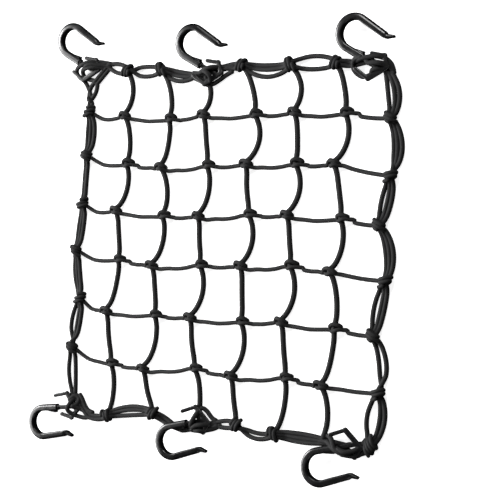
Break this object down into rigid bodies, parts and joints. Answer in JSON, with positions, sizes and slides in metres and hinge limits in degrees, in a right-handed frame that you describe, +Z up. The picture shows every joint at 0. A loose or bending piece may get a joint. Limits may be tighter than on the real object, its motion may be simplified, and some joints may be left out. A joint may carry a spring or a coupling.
{
  "type": "cargo net with hooks",
  "caption": "Square elastic cargo net, knotted from black braided cord with a corded border, lying flat, with black plastic hooks along two opposite sides.",
  "frame": {"origin": "on the surface it lies on, below the middle of the bounding box of the net with its hooks", "axes": "+X and +Y along the net's two borders, the hooks being on the -Y and +Y borders, +Z up off the surface"},
  "size_m": [0.453, 0.476, 0.0162],
  "materials": {
    "black_braided_cord": "matt black polyester braid over rubber strands, fine diagonal weave",
    "black_moulded_plastic": "semi-gloss black injection-moulded plastic"
  },
  "bodies": {
    "root": {"net": "black_braided_cord", "hook_1": "black_moulded_plastic", "hook_2": "black_moulded_plastic", "hook_3": "black_moulded_plastic", "hook_4": "black_moulded_plastic", "hook_5": "black_moulded_plastic", "hook_6": "black_moulded_plastic"}
  },
  "joints": []
}
